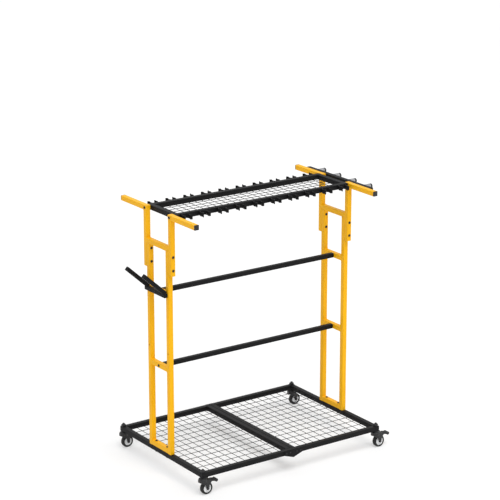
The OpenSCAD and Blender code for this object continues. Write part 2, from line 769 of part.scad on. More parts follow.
base_half(-1);  // base_left
base_half(1);  // base_right
deck(-1);  // deck_left
deck(1);  // deck_right
splice_plates();
splice_screws();
caster_stems();
caster_nuts();
fork(corners[0], true);  // fork_front_left
fork(corners[1], true);  // fork_front_right
fork(corners[2], false);  // fork_rear_left
fork(corners[3], false);  // fork_rear_right
axle(corners[0]);  // axle_front_left
axle(corners[1]);  // axle_front_right
axle(corners[2]);  // axle_rear_left
axle(corners[3]);  // axle_rear_right
hub(corners[0]);  // hub_front_left
hub(corners[1]);  // hub_front_right
hub(corners[2]);  // hub_rear_left
hub(corners[3]);  // hub_rear_right
tyre(corners[0]);  // tyre_front_left
tyre(corners[1]);  // tyre_front_right
tyre(corners[2]);  // tyre_rear_left
tyre(corners[3]);  // tyre_rear_right
pedal(corners[0]);  // pedal_front_left
pedal(corners[1]);  // pedal_front_right
lower_frame(-1);  // lower_frame_left
lower_frame(1);  // lower_frame_right
upper_frame(-1);  // upper_frame_left
upper_frame(1);  // upper_frame_right
overlap_bolts();
base_bolts();
hex_nuts();
arm_caps();
tie_bar(low_bar_z);  // tie_bar_lower
tie_bar(mid_bar_z);  // tie_bar_upper
tie_bar_screws();
tray_frame();
tray_floor();
tray_bolts();
for (i = clips) clip(i, -1);
for (i = [1:clip_count / 2]) clip(i, 1);  // rear_clips_left
for (i = [clip_count / 2 + 1:clip_count]) clip(i, 1);  // rear_clips_right
clip_rivets();
hose_hook();
hook_screws();
peg_rail();
pegs();
peg_plugs();
peg_screws();
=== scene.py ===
import json
import math

import bmesh
import bpy
from mathutils import Euler, Matrix, Vector


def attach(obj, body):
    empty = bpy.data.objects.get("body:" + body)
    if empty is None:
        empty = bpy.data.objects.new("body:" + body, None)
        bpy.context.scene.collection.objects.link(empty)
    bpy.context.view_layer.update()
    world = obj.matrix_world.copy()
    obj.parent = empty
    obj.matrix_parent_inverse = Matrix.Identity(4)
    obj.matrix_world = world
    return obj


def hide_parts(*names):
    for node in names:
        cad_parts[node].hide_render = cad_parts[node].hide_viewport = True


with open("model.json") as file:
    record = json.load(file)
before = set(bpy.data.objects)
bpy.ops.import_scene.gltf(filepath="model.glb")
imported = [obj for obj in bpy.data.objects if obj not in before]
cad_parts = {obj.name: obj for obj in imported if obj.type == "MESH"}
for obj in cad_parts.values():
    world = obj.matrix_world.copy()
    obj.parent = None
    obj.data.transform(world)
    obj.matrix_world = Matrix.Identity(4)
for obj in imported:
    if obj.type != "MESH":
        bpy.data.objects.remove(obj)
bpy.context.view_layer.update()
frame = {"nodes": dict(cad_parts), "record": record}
nodes = frame["nodes"]
record = frame["record"]
slotOf = {row["node"]: row["material_slot"] for row in record["subparts"]}
bodyOf = {name: body for body, names in record["behaviour"]["bodies"].items() for name in names}
mm = 0.001
print("frame loaded:", len(nodes), "nodes")

# Millimetres, measured from the middle of the base; centreX moves them into the frame
rack = {
    "centreX": 26.0, "halfWidth": 430.0, "halfDepth": 300.0, "tube": 20.0, "sideX": 420.0, "ringY": 290.0,
    "lowY": 67.0, "upY": 87.0, "baseUnder": 72.0, "baseTop": 92.0, "lowBarZ": 441.0, "midBarZ": 745.0,
    "shoulderZ": 920.0, "armZ": 1058.0, "trayHalfX": 409.8, "trayHalfY": 97.0,
}
half = rack["tube"] / 2
cornerOf = {"front_left": (-1, -1), "front_right": (1, -1), "rear_left": (-1, 1), "rear_right": (1, 1)}


# Shader nodes, wrapped so that a finish is written as arithmetic on its patterns

class Sock:
    # A node's output, on which arithmetic adds Math nodes
    def __init__(self, mat, out):
        self.mat, self.out = mat, out

    def math(self, operation, other):
        return self.mat.node("ShaderNodeMath", {"operation": operation}, self, other)

    def __add__(self, other):
        return self.math("ADD", other)

    def __rsub__(self, other):
        return self.mat.node("ShaderNodeMath", {"operation": "SUBTRACT"}, other, self)

    def __mul__(self, other):
        return self.math("MULTIPLY", other)

    __radd__ = __add__
    __rmul__ = __mul__


class Mat:
    def __init__(self, name):
        self.data = bpy.data.materials.new(name)
        self.data.use_nodes = True
        self.tree = self.data.node_tree
        self.bsdf = self.tree.nodes["Principled BSDF"]
        self.coord = Sock(self, self.tree.nodes.new("ShaderNodeTexCoord").outputs["Object"])

    def link(self, value, socket):
        if isinstance(value, Sock):
            self.tree.links.new(value.out, socket)
        elif value is not None:
            socket.default_value = value

    def node(self, kind, settings, *values, out=0, **named):
        made = self.tree.nodes.new(kind)
        for key, value in settings.items():
            setattr(made, key, value)
        for index, value in enumerate(values):
            self.link(value, made.inputs[index])
        for key, value in named.items():
            self.link(value, made.inputs[key.replace("_", " ")])
        return Sock(self, made.outputs[out])

    def noise(self, scale, detail, rough, vector=None):
        return self.node("ShaderNodeTexNoise", {}, Vector=vector or self.coord, Scale=scale, Detail=detail,
                         Roughness=rough)

    def mask(self, value, low, high):
        return self.node("ShaderNodeMapRange", {"clamp": True}, value, low, high, 0.0, 1.0)

    def patches(self, scale, detail, rough, low, high):
        return self.mask(self.noise(scale, detail, rough), low, high)

    def mix(self, factor, a, b):
        unused = [None] * 5
        return self.node("ShaderNodeMix", {"data_type": "RGBA"}, factor, *unused, a, b, out=2)

    def height(self):
        return self.node("ShaderNodeSeparateXYZ", {}, self.coord, out=2)

    def stretched(self, scale):
        return self.node("ShaderNodeMapping", {}, Vector=self.coord, Scale=scale)

    def bump(self, height, strength, distance):
        made = self.node("ShaderNodeBump", {}, Strength=strength, Distance=distance, Height=height)
        self.link(made, self.bsdf.inputs["Normal"])

    def set(self, **values):
        for key, value in values.items():
            self.link(value, self.bsdf.inputs[key.replace("_", " ")])


def rgb(r, g, b):
    return (r, g, b, 1.0)


# Finishes: a noise is (scale, detail, roughness), patches add the range that makes them a mask,
# and a bump is (strength, distance)

coat = {"cloud": (9.0, 3.0, 0.5, 0.35, 0.75), "clouding": 0.45, "cloudRough": 0.08,
        "scuff": (70.0, 6.0, 0.72, 0.66, 0.8), "scuffRough": 0.12,
        "dust": (38.0, 4.0, 0.6, 0.42, 0.75), "dustHeights": (0.06, 0.16), "dustColour": rgb(0.3, 0.28, 0.25),
        "dustRough": 0.2, "grain": (2600.0, 2.0, 0.6), "grainShare": 0.35, "peel": (520.0, 1.0, 0.5),
        "bump": (0.28, 0.0004)}
yellowPaint = {"colour": rgb(0.93, 0.475, 0.003), "deep": rgb(0.86, 0.41, 0.003),
               "worn": rgb(0.95, 0.58, 0.08), "rough": 0.42, "shine": 0.16, "wear": 0.2, "dust": 0.05}
blackPaint = {"colour": rgb(0.006, 0.006, 0.0065), "deep": rgb(0.011, 0.011, 0.012),
              "worn": rgb(0.04, 0.04, 0.042), "rough": 0.54, "shine": 0.12, "wear": 0.3, "dust": 0.02}


def powderCoat(name, paint):
    # Orange peel and fine grain, scuffs, and dust on what lies low
    mat = Mat(name)
    cloud = mat.patches(*coat["cloud"])
    scuff = mat.patches(*coat["scuff"]) * paint["wear"]
    low = 1.0 - mat.mask(mat.height(), *coat["dustHeights"])
    dust = low * mat.patches(*coat["dust"]) * paint["dust"]
    plain = mat.mix(cloud * coat["clouding"], paint["colour"], paint["deep"])
    worn = mat.mix(scuff, plain, paint["worn"])
    rough = paint["rough"] + coat["cloudRough"] * cloud + coat["scuffRough"] * scuff
    mat.set(Base_Color=mat.mix(dust, worn, coat["dustColour"]), Roughness=rough + coat["dustRough"] * dust,
            Specular_IOR_Level=paint["shine"])
    mat.bump(mat.noise(*coat["grain"]) * coat["grainShare"] + mat.noise(*coat["peel"]), *coat["bump"])
    return mat.data


blackZinc = {"colour": rgb(0.008, 0.008, 0.009), "second": rgb(0.028, 0.028, 0.03),
             "rough": 0.42, "metal": 0.3, "shine": 0.5, "patches": (320.0, 4.0, 0.6, 0.45, 0.7),
             "share": 1.0, "patchRough": 0.18, "grain": (1500.0, 2.0, 0.5), "bump": (0.15, 0.0002)}
mouldedBlack = {"colour": rgb(0.011, 0.011, 0.012), "second": rgb(0.06, 0.058, 0.054),
                "rough": 0.46, "metal": 0.0, "shine": 0.4, "patches": (34.0, 5.0, 0.65, 0.52, 0.78),
                "share": 0.3, "patchRough": 0.15, "grain": (900.0, 3.0, 0.55), "bump": (0.22, 0.0003)}
mouldedGrey = {"colour": rgb(0.9, 0.905, 0.91), "second": rgb(0.76, 0.77, 0.78),
               "rough": 0.38, "metal": 0.0, "shine": 0.5, "patches": (60.0, 3.0, 0.5, 0.3, 0.8),
               "share": 0.5, "patchRough": 0.12, "grain": (1100.0, 2.0, 0.5), "bump": (0.12, 0.0002)}
tyreRubber = {"colour": rgb(0.008, 0.008, 0.008), "second": rgb(0.05, 0.047, 0.043),
              "rough": 0.66, "metal": 0.0, "shine": 0.35, "patches": (120.0, 6.0, 0.7, 0.45, 0.72),
              "share": 0.5, "patchRough": 0.2, "grain": (700.0, 4.0, 0.6), "bump": (0.3, 0.0004)}


def patched(name, look):
    # One colour with patches of a second one, which are rougher
    mat = Mat(name)
    patches = mat.patches(*look["patches"])
    mat.set(Base_Color=mat.mix(patches * look["share"], look["colour"], look["second"]),
            Roughness=look["rough"] + look["patchRough"] * patches, Metallic=look["metal"],
            Specular_IOR_Level=look["shine"])
    mat.bump(mat.noise(*look["grain"]), *look["bump"])
    return mat.data


steel = {"bright": rgb(0.36, 0.36, 0.37), "dull": rgb(0.25, 0.25, 0.26), "rough": 0.4, "metal": 0.65,
         "brush": (900.0, 3.0, 0.6), "brushStretch": (0.05, 1.0, 1.0), "brushRough": 0.1,
         "spangle": (140.0, 2.0, 0.5, 0.35, 0.7), "spangleRough": 0.14, "bump": (0.08, 0.0002)}


def zincSteel(name):
    mat = Mat(name)
    brushed = mat.noise(*steel["brush"], mat.stretched(steel["brushStretch"]))
    spangle = mat.patches(*steel["spangle"])
    mat.set(Base_Color=mat.mix(spangle, steel["bright"], steel["dull"]), Metallic=steel["metal"],
            Roughness=steel["rough"] + steel["spangleRough"] * spangle + steel["brushRough"] * brushed)
    mat.bump(brushed, *steel["bump"])
    return mat.data


finishes = {
    "yellow_paint": powderCoat("yellowPowderCoat", yellowPaint),
    "black_paint": powderCoat("blackPowderCoat", blackPaint),
    "black_fastener": patched("blackZinc", blackZinc),
    "black_plastic": patched("mouldedBlack", mouldedBlack),
    "grey_plastic": patched("mouldedGrey", mouldedGrey),
    "bright_steel": zincSteel("zincSteel"),
    "tyre_rubber": patched("tyreRubber", tyreRubber),
}
for name, obj in nodes.items():
    obj.data.materials.clear()
    obj.data.materials.append(finishes[slotOf[name]])
    for polygon in obj.data.polygons:
        polygon.material_index = 0
print("finishes set:", len(finishes))


# Mesh helpers: angles between faces in degrees, and distances below which points are merged

shading = {"smoothBelow": 34, "roundAbove": 38, "flatBelow": 0.5, "merge": 0.002, "sliver": 0.004}


def shadeByAngle(mesh):
    for polygon in mesh.polygons:
        polygon.use_smooth = True
    mesh.set_sharp_from_angle(angle=math.radians(shading["smoothBelow"]))


def makePiece(name, parts, like, replaced=()):
    # Joins the parts to one object that has the slot and body of the CAD node `like`
    whole = bmesh.new()
    for part in parts:
        scrap = bpy.data.meshes.new("scrap")
        part.to_mesh(scrap)
        part.free()
        whole.from_mesh(scrap)
        bpy.data.meshes.remove(scrap)
    place = Matrix.Scale(mm, 4) @ Matrix.Translation((rack["centreX"], 0, 0))
    bmesh.ops.transform(whole, matrix=place, verts=whole.verts)
    return addMesh(name, whole, like, replaced)


def addMesh(name, bm, like, replaced):
    mesh = bpy.data.meshes.new(name)
    bm.to_mesh(mesh)
    bm.free()
    mesh.materials.append(finishes[slotOf[like]])
    shadeByAngle(mesh)
    piece = bpy.data.objects.new(name, mesh)
    bpy.context.scene.collection.objects.link(piece)
    if replaced:
        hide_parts(*replaced)
    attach(piece, bodyOf[like])
    return piece


def aimed(bm, place, direction):
    # Turns a part that stands along +Z so that it runs along the direction, and moves it
    turn = Vector((0, 0, 1)).rotation_difference(Vector(direction)).to_matrix().to_4x4()
    bmesh.ops.transform(bm, matrix=Matrix.Translation(place) @ turn, verts=bm.verts)
    return bm


def rounds(*pairs):
    return [("round", radius, height) for radius, height in pairs]


def turned(rings, loop=False, segments=24):
    # Skin over a row of rings, each (shape, radius or half width over flats, height)
    bm = bmesh.new()
    bmesh.ops.create_circle(bm, segments=segments, radius=1.0)

    def lay(verts, ring):
        shape, radius, height = ring
        for vert in verts:
            angle = math.atan2(vert.co.y, vert.co.x)
            fold = (angle + math.pi / 6) % (math.pi / 3) - math.pi / 6
            reach = radius / math.cos(fold) if shape == "hex" else radius
            vert.co = (reach * math.cos(angle), reach * math.sin(angle), height)

    lay(bm.verts, rings[0])
    edges = bm.edges[:]
    first = edges
    for ring in rings[1:]:
        grown = bmesh.ops.extrude_edge_only(bm, edges=edges)["geom"]
        verts = {item for item in grown if isinstance(item, bmesh.types.BMVert)}
        edges = [item for item in grown if isinstance(item, bmesh.types.BMEdge) and set(item.verts) <= verts]
        lay(verts, ring)
    if loop:
        bmesh.ops.bridge_loops(bm, edges=first + edges)
    else:
        bmesh.ops.contextual_create(bm, geom=first)
        bmesh.ops.contextual_create(bm, geom=edges)
    bmesh.ops.recalc_face_normals(bm, faces=bm.faces)
    return bm


def lathe(profile, segments):
    # Closed outline of (radius, height) points, spun round the Z axis
    bm = bmesh.new()
    verts = [bm.verts.new((radius, 0, height)) for radius, height in profile]
    edges = [bm.edges.new((verts[i], verts[(i + 1) % len(verts)])) for i in range(len(verts))]
    bmesh.ops.spin(bm, geom=verts + edges, cent=(0, 0, 0), axis=(0, 0, 1), angle=2 * math.pi, steps=segments,
                   use_merge=True)
    bmesh.ops.remove_doubles(bm, verts=bm.verts, dist=0.001)
    bmesh.ops.recalc_face_normals(bm, faces=bm.faces)
    return bm


def mirrored(profile):
    return [(radius, -height) for radius, height in reversed(profile)]


def roundedBlock(size, place, edge, turn):
    bm = bmesh.new()
    bmesh.ops.create_cube(bm, size=1.0)
    bmesh.ops.scale(bm, vec=size, verts=bm.verts)
    bmesh.ops.bevel(bm, geom=bm.edges[:], offset=edge, segments=2, profile=0.5, affect="EDGES", material=-1)
    bmesh.ops.rotate(bm, cent=(0, 0, 0), matrix=turn, verts=bm.verts)
    bmesh.ops.translate(bm, vec=place, verts=bm.verts)
    return bm


def softened(name, node, edge):
    # A copy of a CAD node with its sharp edges rounded off
    bm = bmesh.new()
    bm.from_mesh(nodes[node].data)
    bmesh.ops.remove_doubles(bm, verts=bm.verts, dist=shading["merge"] * mm)
    flat = math.radians(shading["flatBelow"])
    bmesh.ops.dissolve_limit(bm, angle_limit=flat, verts=bm.verts, edges=bm.edges)
    limit = math.radians(shading["roundAbove"])
    sharp = [e for e in bm.edges if len(e.link_faces) == 2 and e.calc_face_angle(0.0) > limit]
    bmesh.ops.bevel(bm, geom=sharp, offset=edge * mm, segments=2, profile=0.5, affect="EDGES", material=-1,
                    clamp_overlap=True)
    bmesh.ops.remove_doubles(bm, verts=bm.verts, dist=shading["sliver"] * mm)
    return addMesh(name, bm, node, [node])


# Fasteners: diameters and heights; widths of hexagons are over their flats

boltShape = {"shaft": 6.0, "head": 11.0, "high": 3.2, "flange": 0.9, "hex": 4.0, "deep": 2.0, "pitch": 1.0,
             "threads": 9}
screwShape = {"shaft": 4.0, "head": 7.5, "high": 2.2, "flange": 0.5, "hex": 2.5, "deep": 1.4, "pitch": 0.7,
              "threads": 4}
boltTrim = {"chamfer": 0.5, "threadShare": 0.4, "flangeShare": 0.6, "domeFoot": 0.15, "domeFlat": 0.55,
            "domeSteps": 4, "domeAngle": 20, "socketEdge": 0.25}
rivetShape = {"length": 8.5, "shaft": 4.0, "head": 7.5, "high": 1.2, "dimple": 1.3, "rim": 0.3, "edge": 0.1,
              "slope": 0.2, "shoulder": (0.85, 0.75), "crown": 0.6, "segments": 18}
frameNut = {"wide": 10.0, "high": 5.0, "hole": 6.4}
stemNut = {"wide": 17.0, "high": 8.0, "hole": 10.4}
nutTrim = {"chamfer": 0.5, "round": 0.94, "edge": 0.12}


def bolt(shape, length, place, direction):
    # Flanged button head with a hex socket; the flange lies on the seat and the shaft runs from it
    shaft, head, high, flange = shape["shaft"] / 2, shape["head"] / 2, shape["high"], shape["flange"]
    dome, socket, end = head - flange, shape["hex"] / 2, length - boltTrim["chamfer"]
    groove = shaft - boltTrim["threadShare"] * shape["pitch"]
    rings = rounds((shaft - boltTrim["chamfer"], length))
    for step in range(shape["threads"]):
        crest = end - step * shape["pitch"]
        rings += rounds((shaft, crest), (groove, crest - shape["pitch"] / 2))
    rings += rounds((shaft, end - shape["threads"] * shape["pitch"]), (shaft, 0.0), (head, 0.0),
                    (head, -boltTrim["flangeShare"] * flange), (dome + boltTrim["domeFoot"], -flange))
    for step in range(1, boltTrim["domeSteps"] + 1):
        angle = math.radians(boltTrim["domeAngle"] * step)
        share = boltTrim["domeFlat"] + (1 - boltTrim["domeFlat"]) * math.cos(angle)
        rings += rounds((dome * share, -flange - (high - flange) * math.sin(angle)))
    rings += [("hex", socket + boltTrim["socketEdge"], -high), ("hex", socket, boltTrim["socketEdge"] - high),
              ("hex", socket, shape["deep"] - high)]
    return aimed(turned(rings), place, direction)


def rivet(place, direction):
    shape = rivetShape
    shaft, head, high, dimple = shape["shaft"] / 2, shape["head"] / 2, shape["high"], shape["dimple"]
    wide, low = shape["shoulder"]
    rings = rounds((shaft, shape["length"]), (shaft, 0.0), (head - shape["edge"], 0.0), (head, -shape["rim"]),
                   (wide * head, -low * high), (shape["crown"] * head, -high), (dimple, -high),
                   (dimple - shape["slope"], shape["slope"] - high), (dimple - shape["slope"], 0.0))
    return aimed(turned(rings, segments=shape["segments"]), place, direction)


def nut(shape, place, direction):
    flat, bore, high = shape["wide"] / 2, shape["hole"] / 2, shape["high"]
    chamfer, roundOff, edge = nutTrim["chamfer"], nutTrim["round"] * flat, nutTrim["edge"]
    rings = rounds((bore, chamfer), (bore + chamfer, 0.0), (roundOff, 0.0))
    rings += [("hex", flat, edge * high), ("hex", flat, (1 - edge) * high)]
    rings += rounds((roundOff, high), (bore + chamfer, high), (bore, high - chamfer))
    return aimed(turned(rings, loop=True), place, direction)


overlap = {"bolt": 45.0, "drop": 18.0, "pitch": 53.5}
bolts, nuts = [], []
for side in (-1, 1):
    for index in (0, 1):
        x, z = side * rack["sideX"], rack["shoulderZ"] - overlap["drop"] - index * overlap["pitch"]
        for y in (-rack["upY"] - half, rack["lowY"] - half):
            bolts.append(bolt(boltShape, overlap["bolt"], (x, y, z), (0, 1, 0)))
        for y in (-rack["lowY"] + half, rack["upY"] + half):
            nuts.append(nut(frameNut, (x, y, z), (0, 1, 0)))
makePiece("overlapBolts", bolts, "overlap_bolts", ["overlap_bolts"])

baseJoint = {"bolt": 45.0, "boltY": 40.0}
trayJoint = {"nutIn": 1.5, "bite": 6.5}
bolts = []
for side in (-1, 1):
    x = side * rack["sideX"]
    for y in (-baseJoint["boltY"], baseJoint["boltY"]):
        bolts.append(bolt(boltShape, baseJoint["bolt"], (x, y, rack["baseTop"] + rack["tube"]), (0, 0, -1)))
        nuts.append(nut(frameNut, (x, y, rack["baseUnder"] - frameNut["high"]), (0, 0, 1)))
    x = side * (rack["trayHalfX"] - trayJoint["nutIn"])
    nuts += [nut(frameNut, (x, y, rack["armZ"]), (-side, 0, 0)) for y in (-rack["upY"], rack["upY"])]
makePiece("baseBolts", bolts, "base_bolts", ["base_bolts"])
makePiece("hexNuts", nuts, "hex_nuts", ["hex_nuts"])

tieBar = {"bite": 8.0}
hook = {"tube": 16.0, "screwY": 34.0, "bite": 6.0}
bolts = []
for side in (-1, 1):
    for z in (rack["lowBarZ"], rack["midBarZ"]):
        past = hook["tube"] if side < 0 and z == rack["midBarZ"] else 0.0
        length = past + rack["tube"] + tieBar["bite"]
        bolts.append(bolt(boltShape, length, (side * (rack["halfWidth"] + past), 0, z), (-side, 0, 0)))
makePiece("tieBarScrews", bolts, "tie_bar_screws", ["tie_bar_screws"])

bolts = []
for side in (-1, 1):
    seat = rack["halfWidth"] + (rack["tube"] if side > 0 else 0.0)
    for y in (-rack["upY"], rack["upY"]):
        length = seat - rack["trayHalfX"] + trayJoint["bite"]
        bolts.append(bolt(boltShape, length, (side * seat, y, rack["armZ"]), (-side, 0, 0)))
makePiece("trayBolts", bolts, "tray_bolts", ["tray_bolts"])

splice = {"near": 16.14, "far": 33.74, "plate": 3.0, "screw": 9.0}
bolts = []
for front in (-1, 1):
    for x in (-splice["far"], -splice["near"], splice["near"], splice["far"]):
        place = (x, front * (rack["halfDepth"] + splice["plate"]), rack["baseTop"] - half)
        bolts.append(bolt(screwShape, splice["screw"], place, (0, -front, 0)))
makePiece("spliceScrews", bolts, "splice_screws", ["splice_screws"])

bolts = []
for y in (-hook["screwY"], hook["screwY"]):
    place = (-rack["halfWidth"] - hook["tube"], y, rack["midBarZ"])
    bolts.append(bolt(screwShape, hook["tube"] + hook["bite"], place, (1, 0, 0)))
makePiece("hookScrews", bolts, "hook_screws", ["hook_screws"])

clipRow = {"count": 10, "pitch": 82.5, "strip": 2.5}
rivets = []
for index in range(clipRow["count"]):
    x = (index - (clipRow["count"] - 1) / 2) * clipRow["pitch"]
    for row in (-1, 1):
        rivets.append(rivet((x, row * (rack["trayHalfY"] + clipRow["strip"]), rack["armZ"]), (0, -row, 0)))
makePiece("clipRivets", rivets, "clip_rivets", ["clip_rivets"])
print("fasteners made")


# Casters: parts of a wheel are made round Z, with the middle of the tyre at height 0

caster = {"wheel": 25.0, "tyre": 18.0, "hub": 17.5, "trail": 15.0, "axle": 6.0, "forkHalf": 13.0, "gap": 0.05,
          "segments": 64}

# Groove, shoulder and crown of the tyre: (radius, distance in from its side)
tyre = {"lip": 16.6, "seat": 8.1, "edge": 0.4, "crown": (24.9, 0.4),
        "side": ((20.4, 0.0), (20.7, 0.35), (21.1, 0.35), (21.4, 0.0), (22.3, 0.15), (23.6, 0.9), (24.5, 2.3),
                 (24.85, 4.6))}


def tyreParts():
    width, lip, seat, edge = caster["tyre"] / 2, tyre["lip"], tyre["seat"], tyre["edge"]
    profile = [(caster["hub"] + caster["gap"], -seat), (lip, -seat), (lip, edge - width), (lip + edge, -width)]
    profile += [(radius, inset - width) for radius, inset in tyre["side"]]
    profile.append((tyre["crown"][0], -tyre["crown"][1]))
    return [lathe(profile + [(caster["wheel"], 0.0)] + mirrored(profile), caster["segments"])]


# Wheel centre: its web is (radius past the boss, height), its rim (radius past the rim's own, height)
hub = {"boss": 6.0, "bossHalf": 9.6, "boreEdge": 0.4, "bossEdge": 0.5, "web": ((0.3, -4.2), (1.5, -3.0)),
       "rim": ((-5.0, -2.4), (-3.2, -3.2), (-2.6, -7.4), (-2.1, -8.0), (-0.3, -8.0), (0.0, -7.7)),
       "ribs": 6, "ribIn": 3.0, "ribLap": 1.0, "ribThick": 1.5, "ribHigh": 10.0, "ribEdge": 0.35}


def hubParts():
    bore, boss, bossHalf = caster["axle"] / 2 + caster["gap"], hub["boss"], hub["bossHalf"]
    profile = [(bore, hub["boreEdge"] - bossHalf), (bore + hub["boreEdge"], -bossHalf),
               (boss - hub["bossEdge"], -bossHalf), (boss, hub["bossEdge"] - bossHalf)]
    profile += [(boss + radius, height) for radius, height in hub["web"]]
    profile += [(caster["hub"] + radius, height) for radius, height in hub["rim"]]
    parts = [lathe(profile + mirrored(profile), caster["segments"])]
    ribEnd = caster["hub"] - hub["ribIn"]
    for index in range(hub["ribs"]):
        turn = Matrix.Rotation(math.radians(360 / hub["ribs"] * (index + 0.5)), 3, "Z")
        size = (ribEnd - boss + hub["ribLap"], hub["ribThick"], hub["ribHigh"])
        parts.append(roundedBlock(size, turn @ Vector(((boss + ribEnd) / 2, 0, 0)), hub["ribEdge"], turn))
    return parts


axle = {"head": 5.0, "high": 2.0, "hex": 4.55, "hexEdge": 0.45, "rim": 0.4, "rimEdge": 0.3, "dome": (0.75, 1.6),
        "top": 0.4}


def axleParts():
    reach, head, pin = caster["forkHalf"], axle["head"], caster["axle"] / 2
    rings = [("hex", axle["hex"] - axle["hexEdge"], -reach - axle["high"]),
             ("hex", axle["hex"], axle["hexEdge"] - reach - axle["high"]), ("hex", axle["hex"], -reach)]
    rings += rounds((pin, -reach), (pin, reach), (head - axle["rimEdge"], reach), (head, reach + axle["rim"]),
                    (axle["dome"][0] * head, reach + axle["dome"][1]),
                    (axle["top"] * head, reach + axle["high"]))
    return [turned(rings)]


# Cap over an axle's end: each step of its skin is (share of the radius, share of the height)
axleCap = {"wide": 5.8, "high": 2.6, "foot": 0.1,
           "steps": ((1.0, 0.6), (0.9, 0.88), (0.62, 1.0), (0.36, 1.0), (0.3, 0.85))}


def capParts():
    reach, wide, high = caster["forkHalf"], axleCap["wide"], axleCap["high"]
    parts = []
    for turn in (0.0, math.pi):
        rings = rounds((wide, reach - axleCap["foot"]))
        rings += rounds(*((share * wide, reach + rise * high) for share, rise in axleCap["steps"]))
        part = turned(rings)
        bmesh.ops.rotate(part, cent=(0, 0, 0), matrix=Matrix.Rotation(turn, 3, "X"), verts=part.verts)
        parts.append(part)
    return parts


def toWheel(parts, corner):
    # Lays parts that were made round Z along the axle of one caster
    x, y = cornerOf[corner]
    place = (x * rack["sideX"] + caster["trail"], y * rack["ringY"], caster["wheel"])
    return [aimed(part, place, (0, -1, 0)) for part in parts]


stem = {"crownUnder": 52.0, "headTop": 54.5, "headEdge": 0.6, "flangeUnder": 68.0, "flange": 11.0,
        "flangeEdge": 1.0, "king": 4.0, "head": 6.0, "stem": 5.0, "threadFrom": 98.0, "top": 105.0, "tip": 1.0,
        "threadDeep": 0.55, "pitch": 1.5, "segments": 32}


def stemParts(corner):
    # King pin with its head, flange, and a threaded end above the nut
    profile = [(0.0, stem["crownUnder"]), (stem["head"] - stem["headEdge"], stem["crownUnder"]),
               (stem["head"], stem["crownUnder"] + stem["headEdge"]), (stem["head"], stem["headTop"]),
               (stem["king"], stem["headTop"]), (stem["king"], stem["flangeUnder"]),
               (stem["flange"] - stem["flangeEdge"], stem["flangeUnder"]),
               (stem["flange"], stem["flangeUnder"] + stem["flangeEdge"]), (stem["flange"], rack["baseUnder"]),
               (stem["stem"], rack["baseUnder"])]
    height = stem["threadFrom"]
    while height < stem["top"] - stem["pitch"]:
        profile += [(stem["stem"], height), (stem["stem"] - stem["threadDeep"], height + stem["pitch"] / 2)]
        height += stem["pitch"]
    profile += [(stem["stem"], stem["top"] - stem["tip"]), (stem["stem"] - stem["tip"], stem["top"]),
                (0.0, stem["top"])]
    x, y = cornerOf[corner]
    return aimed(lathe(profile, stem["segments"]), (x * rack["sideX"], y * rack["ringY"], 0), (0, 0, 1))


# Widths of the rounded edges on copies of CAD nodes
roundings = {"fork": 0.7, "pedal": 0.8, "clip": 0.35, "splicePlate": 0.5, "armCap": 0.9}
stems, nuts = [], []
for corner, (x, y) in cornerOf.items():
    for kind, parts, word in (("tyre", tyreParts(), "crowned"), ("hub", hubParts(), "ribbed"),
                              ("axle", axleParts(), "bolt")):
        node = kind + "_" + corner
        makePiece(node + "_" + word, toWheel(parts, corner), node, [node])
    makePiece("axle_" + corner + "_caps", toWheel(capParts(), corner), "fork_" + corner)
    softened("fork_" + corner + "_pressed", "fork_" + corner, roundings["fork"])
    stems.append(stemParts(corner))
    nuts.append(nut(stemNut, (x * rack["sideX"], y * rack["ringY"], rack["baseTop"]), (0, 0, 1)))
makePiece("casterStems", stems, "caster_stems", ["caster_stems"])
makePiece("casterNuts", nuts, "caster_nuts", ["caster_nuts"])

# Ridges across the top of a pedal's paddle, measured from its pivot
grips = {"pivotX": 25.0, "pivotZ": 57.0, "slope": 12.0, "top": 3.5, "from": 14.0, "pitch": 3.6, "count": 4,
         "size": (1.5, 19.0, 1.2), "edge": 0.35}


def pedalGrips(corner):
    x, y = cornerOf[corner]
    turn = Matrix.Rotation(math.radians(grips["slope"]), 3, "Y")
    pivot = Vector((x * rack["sideX"] + grips["pivotX"], y * rack["ringY"], grips["pivotZ"]))
    ridges = []
    for index in range(grips["count"]):
        place = pivot + turn @ Vector((grips["from"] + index * grips["pitch"], 0, grips["top"]))
        ridges.append(roundedBlock(grips["size"], place, grips["edge"], turn))
    return ridges


for corner in ("front_left", "front_right"):
    softened("pedal_" + corner + "_moulded", "pedal_" + corner, roundings["pedal"])
    makePiece("pedal_" + corner + "_grips", pedalGrips(corner), "pedal_" + corner)
print("casters made")


# Clips, plates and caps with rounded edges

for index in range(1, clipRow["count"] + 1):
    softened("front_clip_" + str(index) + "_formed", "front_clip_" + str(index), roundings["clip"])
for side in ("left", "right"):
    softened("rear_clips_" + side + "_formed", "rear_clips_" + side, roundings["clip"])
softened("splicePlates", "splice_plates", roundings["splicePlate"])
softened("armCaps", "arm_caps", roundings["armCap"])
print("edges rounded")


# Welds: a fillet bead in a corner, and a flush one over a joint between level faces

bead = {"radius": 2.1, "flush": 0.55, "ripple": 1.4, "sides": 8, "least": 4, "tip": 0.35, "valley": 0.84,
        "taper": 0.6, "taperSteps": 2, "inset": 1.0, "underTop": 2.0, "seam": 0.3}


def weld(start, end, radius):
    # A rippled bead, tapered at both ends and half buried in the corner that it follows
    start, end = Vector(start), Vector(end)
    length = (end - start).length
    count = max(bead["least"], round(length / bead["ripple"]))
    rings = rounds((bead["tip"] * radius, 0.0))
    for index in range(1, count):
        share = 1.0 if index % 2 else bead["valley"]
        rise = (1 - bead["taper"]) * min(index, count - index) / bead["taperSteps"]
        rings += rounds((radius * share * min(1.0, bead["taper"] + rise), length * index / count))
    rings += rounds((bead["tip"] * radius, length))
    return aimed(turned(rings, segments=bead["sides"]), start, end - start)


